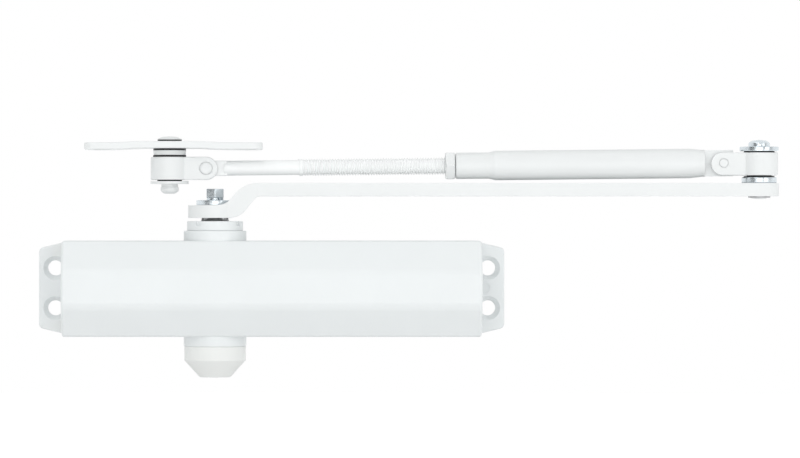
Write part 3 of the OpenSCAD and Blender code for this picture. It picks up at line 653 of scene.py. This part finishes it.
def strap(rivet_z, lead, groove_r):
    """A strap whose flanges end in a half round, lead past the rivet's centre, in a groove."""
    end = REACH + LINK_H
    loop = slab(strap_outline(end), 0, LINK_H)
    tip = arc((-REACH - lead, LINK_H / 2), LINK_H / 2, 90, 270, 24)
    side = tip + [Vector((LOOP_R + 1, 0)), Vector((LOOP_R + 1, LINK_H))]
    keep = placed(slab(side, -LOOP_R - 1, LOOP_R + 1), SIDE_VIEW)
    mesh = eased(combined(loop, keep, "INTERSECT"), STRAP_EDGE, angle=45)
    ring = lathe([
        (0, FLANGE_Y - 0.5), (groove_r, FLANGE_Y - 0.5), (groove_r, FLANGE_Y + 1), (0, FLANGE_Y + 1)
    ], 48)
    other = placed(ring.copy(), spun(180, "X"))
    place = moved(-REACH, 0, rivet_z)
    return cut(mesh, placed(ring, SIDE_VIEW, place), placed(other, SIDE_VIEW, place))


def rivet(name, radius, proud, rounding, place, body, node):
    """A rivet across the strap, whose ends stand a little proud of the flanges."""
    end = FLANGE_Y + proud
    body_r = min(radius, 2)
    mesh = turned([
        (0, -end, 0), (radius, -end, rounding), (radius, 0.45 - FLANGE_Y, 0),
        (body_r - 0.01, 0.45 - FLANGE_Y, 0), (body_r - 0.01, FLANGE_Y - 0.45, 0),
        (radius, FLANGE_Y - 0.45, 0), (radius, end, rounding), (0, end, 0),
    ], 64)
    placed(mesh, SIDE_VIEW, moved(place.x, AXIS_Y, place.z))
    shown(name, mesh, body, "arm_paint", node)


def make_straps():
    elbow_z, shoe_z = lowest("elbow_link").z, lowest("shoe_link").z
    elbow = middle("elbow_rivet")
    shoe = middle("shoe_rivet")
    mesh = placed(strap(elbow.z - elbow_z, 0.5, 2.35), moved(ELBOW_X, AXIS_Y, elbow_z))
    shown("elbow_strap", mesh, "elbow_knuckle", "arm_paint", "elbow_link")
    mesh = placed(strap(shoe.z - shoe_z, 0, 3.1), spun(180, "Z"), moved(SHOE_X, AXIS_Y, shoe_z))
    shown("shoe_strap", mesh, "shoe_knuckle", "arm_paint", "shoe_link")
    rivet("elbow_strap_rivet", 1.95, 0.15, 0.3, elbow, "elbow_knuckle", "elbow_rivet")
    rivet("shoe_strap_rivet", 3.05, 0.9, 1.2, shoe, "shoe_knuckle", "shoe_rivet")


make_straps()


# Forearm: drawn along X from the elbow rivet, then tilted as the frame has it

FOREARM_LEN = 243.2
TUBE_REACH = 125.9
SHANK_LEN = 43.4
SHANK_R = 3.5
THREAD_R = 4
PITCH = 1.25
THREAD_DEPTH = 0.62
TUBE_BORE = 58
TONGUE_T = 5
NUT_AF = 12.4
NUT_T = 4.4


def on_forearm(mesh):
    elbow, shoe = middle("elbow_rivet"), middle("shoe_rivet")
    tilt = math.degrees(math.atan2(elbow.z - shoe.z, elbow.x - shoe.x))
    return placed(mesh, spun(-tilt, "Y"), moved(elbow.x, AXIS_Y, elbow.z))


def thread(start, end):
    """A right-hand thread about X. Its columns follow the helix, so that the crests are clean."""
    per_turn, columns = 8, 40
    depth = [0, 0, 0.35, 0.85, 1, 1, 0.85, 0.35]
    mesh = bmesh.new()
    rings = int((end - start) / PITCH * per_turn)
    grid = []
    for j in range(columns):
        a = 2 * math.pi * j / columns
        lead = PITCH * j / columns
        row = []
        for k in range(rings + per_turn + 1):
            r = THREAD_R - THREAD_DEPTH * depth[k % per_turn]
            x = min(start + PITCH * k / per_turn + lead - PITCH, end)
            row.append(mesh.verts.new((x, r * math.sin(a), r * math.cos(a))))
        grid.append(row)
    for j in range(columns):
        shift = per_turn if j == columns - 1 else 0
        following = grid[(j + 1) % columns]
        for k in range(rings + per_turn - shift):
            mesh.faces.new((grid[j][k], grid[j][k + 1], following[k + 1 + shift], following[k + shift]))
    bmesh.ops.recalc_face_normals(mesh, faces=mesh.faces)
    return mesh


def make_rod():
    """The flattened eye, the plain shank and the thread that screws into the tube."""
    start = -FOREARM_LEN + 8.4
    shoulder = -FOREARM_LEN + SHANK_LEN
    end = TUBE_BORE - TUBE_REACH
    core = THREAD_R - THREAD_DEPTH - 0.02
    shank = turned([
        (0, start, 0), (SHANK_R, start, 0.3), (SHANK_R, shoulder, 0), (THREAD_R, shoulder + 0.8, 0.2),
        (THREAD_R, shoulder + 1.6, 0.3), (core, shoulder + 2.4, 0), (core, end - 0.6, 0), (0, end, 0),
    ], 64)
    neck = 3.6
    outline = arc((-FOREARM_LEN, 0), 4.7, 50, 310, 24) + [
        Vector((-FOREARM_LEN + 6, -neck)), Vector((start + 1.5, -neck)),
        Vector((start + 1.5, neck)), Vector((-FOREARM_LEN + 6, neck)),
    ]
    eye = eased(placed(slab(outline, -TONGUE_T / 2, TONGUE_T / 2), SIDE_VIEW), 0.5, angle=60)
    mesh = joined(placed(shank, ALONG_X), thread(shoulder + 1.2, end - 0.8), eye)
    # The rod wears the lighter copy of the arm paint, which is painted light.
    shown(
        "rod", on_forearm(mesh), "rod", "arm_paint", "forearm_rod", smooth=60, finish="rod_paint"
    )


def make_nut():
    """A thin jam nut, chamfered both sides, with its thread's countersink."""
    across = NUT_AF / math.cos(math.pi / 6)
    corners = [math.radians(60 * k + 30) for k in range(6)]
    hexagon = [(across / 2 * math.cos(a), across / 2 * math.sin(a)) for a in corners]
    flat = NUT_AF / 2 * 0.97
    slope = 0.5
    trim = lathe([
        (0, 0), (flat, 0), (flat + 2, 2 * slope), (flat + 2, NUT_T - 2 * slope), (flat, NUT_T), (0, NUT_T)
    ])
    bore = lathe([
        (0, -1), (THREAD_R + 1.4, -1), (THREAD_R + 0.05, 0.35), (THREAD_R + 0.05, NUT_T - 0.35),
        (THREAD_R + 1.4, NUT_T + 1), (0, NUT_T + 1),
    ], 48)
    prism = eased(slab(hexagon, 0, NUT_T), 0.35, lambda p: 0.1 < p.z < NUT_T - 0.1)
    body = combined(prism, trim, "INTERSECT")
    nut = placed(cut(body, bore), ALONG_X, moved(-TUBE_REACH - 0.3 - NUT_T))
    shown("jam_nut", on_forearm(nut), "nut", "arm_paint", "lock_nut")


make_rod()
make_nut()


# Frame bracket: a flat plate with its holes, then pressed so that its middle is set up

PLATE_T = 3.3
PLATE_SET = 0.6
PLATE_FLAT = 10
PLATE_RAMP = 18
PLATE_W = 26
PLATE_SHIFT = 2
PLATE_PITCH_X = 68
PLATE_PITCH_Y = 13
PLATE_HOLE_R = 2.75
PLATE_SINK_R = 5


def plate_rise(x):
    """How high the pressed plate stands at x from the pin: flat, a smooth ramp, flat."""
    t = min(max((abs(x) - PLATE_FLAT) / PLATE_RAMP, 0), 1)
    return PLATE_SET * (1 - t * t * (3 - 2 * t))


def make_bracket():
    low, high = lowest("shoe_bracket"), highest("shoe_bracket")
    left, right = low.x - SHOE_X, high.x - SHOE_X
    half, r = PLATE_W / 2, 4
    outline = rounded([(left, -half, r), (right, -half, r), (right, half, r), (left, half, r)])
    plate = eased(slab(outline, 0, PLATE_T), 0.45, angle=60)
    sink = PLATE_SINK_R - PLATE_HOLE_R
    profile = [
        (0, -1), (PLATE_SINK_R + 1, -1), (PLATE_HOLE_R, sink), (PLATE_HOLE_R, PLATE_T + 1),
        (0, PLATE_T + 1),
    ]
    holes = [
        placed(lathe(profile, 48), moved(PLATE_SHIFT + x * PLATE_PITCH_X / 2, y * PLATE_PITCH_Y / 2))
        for x in (-1, 1) for y in (-1, 1)
    ]
    plate = cut(plate, *holes)
    for step in range(25):
        x = PLATE_FLAT - 1 + step * (PLATE_RAMP + 2) / 24
        for side in (-x, x):
            bmesh.ops.bisect_plane(
                plate, geom=plate.verts[:] + plate.edges[:] + plate.faces[:],
                plane_co=(side, 0, 0), plane_no=(1, 0, 0),
            )
    for vert in plate.verts:
        vert.co.z += plate_rise(vert.co.x)
    placed(plate, moved(SHOE_X, AXIS_Y, low.z))
    shown("bracket", plate, "shoe", "arm_paint", "shoe_bracket")


make_bracket()


# Shoe pin: a domed head on the plate and a button below, and under the dome a thin black disc that is
# painted shade, for the shadow in the gap under the head


def make_shoe_pin():
    top = highest("shoe_bracket").z
    foot = lowest("shoe_pin").z
    washer = lowest("shoe_washer").z
    pin = turned([
        (0, foot, 0), (2.6, foot, 2), (4.25, foot + 1.2, 0.6), (4.25, washer - 1.4, 0.4),
        (3.9, washer - 1.4, 0), (3.9, washer, 0), (4.5, washer, 0), (4.5, top, 0), (5.4, top, 0),
        (5.4, top + 0.8, 0), (5.8, top + 0.8, 0.2), (5.8, top + 1.15, 0.3), (3.4, top + 2.2, 3),
        (0, top + 2.4, 0),
    ], 64)
    shown("knuckle_pin", placed(pin, moved(SHOE_X, AXIS_Y)), "shoe", "arm_paint", "shoe_pin")
    # A thin black disc under the dome: painted shade, standing for the shadow in the gap between head and
    # plate.
    shade_disc = turned([
        (4.6, top + 0.02, 0), (5.7, top + 0.02, 0.1), (5.7, top + 0.78, 0.1), (4.6, top + 0.78, 0)
    ], 64)
    shown("knuckle_pin_seat", placed(shade_disc, moved(SHOE_X, AXIS_Y)), "shoe", "black_nylon")


make_shoe_pin()


# Elbow pin: a plated domed head above, and a painted rivet tail below, with a dark steel disc over the tail
# that is painted shade for the shaded gap under the arm


def make_elbow_pin():
    foot, top = lowest("elbow_pin").z, highest("elbow_pin").z
    bar = lowest("main_arm").z + ARM_RISE
    washer = highest("elbow_washer").z
    shade_disc_r, head_r = 5.25, 5.05
    pin = turned([
        (0, bar + 0.1, 0), (4.5, bar + 0.1, 0), (4.5, washer, 0), (head_r, washer, 0.3),
        (head_r, washer + 1.9, 0.9), (head_r - 1.7, top - 0.35, 1.5), (0, top, 0),
    ], 64)
    shown("elbow_stud", placed(pin, moved(ELBOW_X, AXIS_Y)), "drive", "zinc_steel", "elbow_pin")
    tail = turned([
        (0, foot, 0), (2.8, foot + 0.1, 1), (4.6, bar - 0.65, 0.2), (4.4, bar - 0.6, 0), (0, bar - 0.6, 0)
    ], 64)
    shown("elbow_stud_tail", placed(tail, moved(ELBOW_X, AXIS_Y)), "drive", "arm_paint")
    # A dark steel disc over the tail: a bare steel edge made as dark as the shadow in the gap under the
    # arm, so painted shade.
    shade_disc = turned([
        (0, bar - 0.7, 0), (shade_disc_r, bar - 0.7, 0.1), (shade_disc_r, bar + 0.02, 0), (0, bar + 0.02, 0),
    ], 64)
    shown("elbow_stud_seat", placed(shade_disc, moved(ELBOW_X, AXIS_Y)), "drive", "ground_steel")


make_elbow_pin()


# Closing spring: a smooth coil between the piston and its seat

SPRING_R = 16.5
WIRE_R = 2.5


def make_spring():
    low, high = lowest("closing_spring").x + WIRE_R, highest("closing_spring").x - WIRE_R
    turns, per_turn, around = 7.5, 48, 14
    closed = 2.04 * WIRE_R
    opened = (high - low - 2 * closed) / (turns - 2)
    mesh = bmesh.new()
    rings = []
    for i in range(int(turns * per_turn) + 1):
        t = i / per_turn
        x = closed * t if t < 1 else closed + opened * (t - 1)
        x = high - low - closed * (turns - t) if t > turns - 1 else x
        a = 2 * math.pi * t
        rings.append([])
        for k in range(around):
            w = 2 * math.pi * k / around
            r = SPRING_R - WIRE_R + WIRE_R * math.cos(w)
            place = (low + x + WIRE_R * math.sin(w), AXIS_Y + r * math.cos(a), r * math.sin(a))
            rings[-1].append(mesh.verts.new(place))
    for ring, following in zip(rings, rings[1:]):
        for k in range(around):
            j = (k + 1) % around
            mesh.faces.new((ring[k], ring[j], following[j], following[k]))
    mesh.faces.new(rings[0][::-1])
    mesh.faces.new(rings[-1])
    bmesh.ops.recalc_face_normals(mesh, faces=mesh.faces)
    spring = shown("spring", mesh, "closer_body", "spring_steel", "closing_spring")
    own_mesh(spring)


make_spring()


# The CAD nodes that stay: a finish from their slot, and softened edges

SMALL_EDGE = 0.22 * MM


def soften(piece, width):
    weld = piece.modifiers.new("weld", "WELD")
    weld.merge_threshold = 1e-6
    bevel = piece.modifiers.new("edges", "BEVEL")
    bevel.width = width
    bevel.segments = 3
    bevel.limit_method = "ANGLE"
    bevel.angle_limit = math.radians(28)
    bevel.use_clamp_overlap = False
    bevel.harden_normals = True
    even = piece.modifiers.new("normals", "WEIGHTED_NORMAL")
    even.keep_sharp = True


def finish_node(name, slot):
    piece = nodes[name]
    piece.data.materials.clear()
    piece.data.materials.append(FINISHES[slot])
    soften(piece, SMALL_EDGE)


for row in frame["record"]["subparts"]:
    if not nodes[row["node"]].hide_render:
        finish_node(row["node"], row["material_slot"])


# Stage: a pale floor, soft lamps, and a world that is white to the camera

FLOOR_Z = -0.16
FLOOR_R = 3
FLOOR_FADE = (0.4, 1.3)
ROOM_LIGHT = 0.66


def make_floor():
    finish = Finish("floor", Roughness=0.9, Specular_IOR_Level=0.1, Emission_Color=(1, 1, 1, 1))
    finish.tinted(finish.noise(0.3), (0.90, 0.90, 0.90), (0.92, 0.92, 0.92))
    away = finish.node("ShaderNodeVectorMath", Vector=finish.places)
    away.operation = "LENGTH"
    # From FLOOR_FADE[0] out the floor glows, up to full white at FLOOR_FADE[1]: a painted glow, so the far
    # floor runs into the white world.
    glow = finish.node("ShaderNodeMapRange", Value=away.outputs["Value"], To_Max=1.0)
    glow.inputs["From Min"].default_value = FLOOR_FADE[0]
    glow.inputs["From Max"].default_value = FLOOR_FADE[1]
    finish.feed(finish.shader.inputs["Emission Strength"], glow.outputs["Result"])
    mesh = bmesh.new()
    bmesh.ops.create_circle(mesh, cap_ends=True, segments=96, radius=FLOOR_R)
    data = bpy.data.meshes.new("floor")
    mesh.to_mesh(data)
    mesh.free()
    data.materials.append(finish.material)
    floor = bpy.data.objects.new("floor", data)
    floor.location = (0, 0, FLOOR_Z)
    bpy.context.scene.collection.objects.link(floor)


def lamp(name, place, size, power, look_at=(0.06, -0.03, 0.01)):
    data = bpy.data.lights.new(name, "AREA")
    data.shape = "RECTANGLE"
    data.size, data.size_y = size
    data.energy = power
    made = bpy.data.objects.new(name, data)
    made.location = place
    made.rotation_euler = (Vector(place) - Vector(look_at)).to_track_quat("Z", "Y").to_euler()
    made.visible_camera = False
    bpy.context.scene.collection.objects.link(made)


def ramp_of(tree, value, stops):
    """A grey ramp over a direction that runs from -1 to 1."""
    rise = tree.nodes.new("ShaderNodeMapRange")
    rise.inputs["From Min"].default_value = -1
    tree.links.new(value, rise.inputs["Value"])
    made = tree.nodes.new("ShaderNodeValToRGB")
    tree.links.new(rise.outputs["Result"], made.inputs["Fac"])
    elements = made.color_ramp.elements
    while len(elements) < len(stops):
        elements.new(0.5)
    for element, (place, level) in zip(elements, stops):
        element.position = (place + 1) / 2
        element.color = (level * 0.985, level, level, 1)
    return made.outputs["Color"]


def make_world():
    """White behind the object. Light comes from all round, a little more from above, and
    shiny surfaces see a white room with dark flags on the camera's side."""
    world = bpy.data.worlds.new("studio")
    bpy.context.scene.world = world
    world.use_nodes = True
    tree = world.node_tree
    tree.nodes.clear()

    def background(colour, strength):
        made = tree.nodes.new("ShaderNodeBackground")
        made.inputs["Strength"].default_value = strength
        if colour:
            tree.links.new(colour, made.inputs["Color"])
        else:
            made.inputs["Color"].default_value = (1, 1, 1, 1)
        return made.outputs["Background"]

    def chosen(ray, usual, other):
        made = tree.nodes.new("ShaderNodeMixShader")
        tree.links.new(rays.outputs[ray], made.inputs["Fac"])
        tree.links.new(usual, made.inputs[1])
        tree.links.new(other, made.inputs[2])
        return made.outputs["Shader"]

    rays = tree.nodes.new("ShaderNodeLightPath")
    way = tree.nodes.new("ShaderNodeSeparateXYZ")
    places = tree.nodes.new("ShaderNodeTexCoord")
    tree.links.new(places.outputs["Generated"], way.inputs["Vector"])
    above = ramp_of(tree, way.outputs["Z"], [(-0.6, 0.84), (0.6, 1.0)])
    room = ramp_of(tree, way.outputs["Y"], [(-0.6, 0.6), (0.1, 0.96)])
    flags = ramp_of(tree, way.outputs["X"], [
        (-0.95, 0.9), (-0.85, 0.25), (-0.6, 0.3), (-0.45, 1.0), (-0.1, 0.7), (0.15, 1.0),
        (0.35, 0.45), (0.55, 1.0), (0.8, 0.3), (0.95, 0.9),
    ])
    front = ramp_of(tree, way.outputs["Y"], [(-0.5, 1.0), (-0.1, 0.0)])
    seen = tree.nodes.new("ShaderNodeMix")
    seen.data_type = "RGBA"
    seen.blend_type = "MULTIPLY"
    tree.links.new(front, seen.inputs["Factor"])
    tree.links.new(room, seen.inputs["A"])
    tree.links.new(flags, seen.inputs["B"])
    out = tree.nodes.new("ShaderNodeOutputWorld")
    lit = background(above, ROOM_LIGHT)
    shiny = background(seen.outputs["Result"], 1.0)
    sky = chosen("Is Camera Ray", chosen("Is Glossy Ray", lit, shiny), background(None, 1.0))
    tree.links.new(sky, out.inputs["Surface"])


make_floor()
lamp("key", (-0.6, -1.7, 1.1), (1.2, 1.0), 5.5)
lamp("fill", (1.4, -1.3, 0.5), (1.0, 1.2), 4)
lamp("front", (0.1, -2.3, 0.1), (1.6, 1.2), 5.6)
lamp("top", (0.1, -0.2, 1.5), (2.0, 1.0), 2.8)
lamp("low", (0.1, -1.3, -0.13), (1.8, 0.3), 1.2)
make_world()
bpy.context.scene.view_settings.view_transform = "Standard"
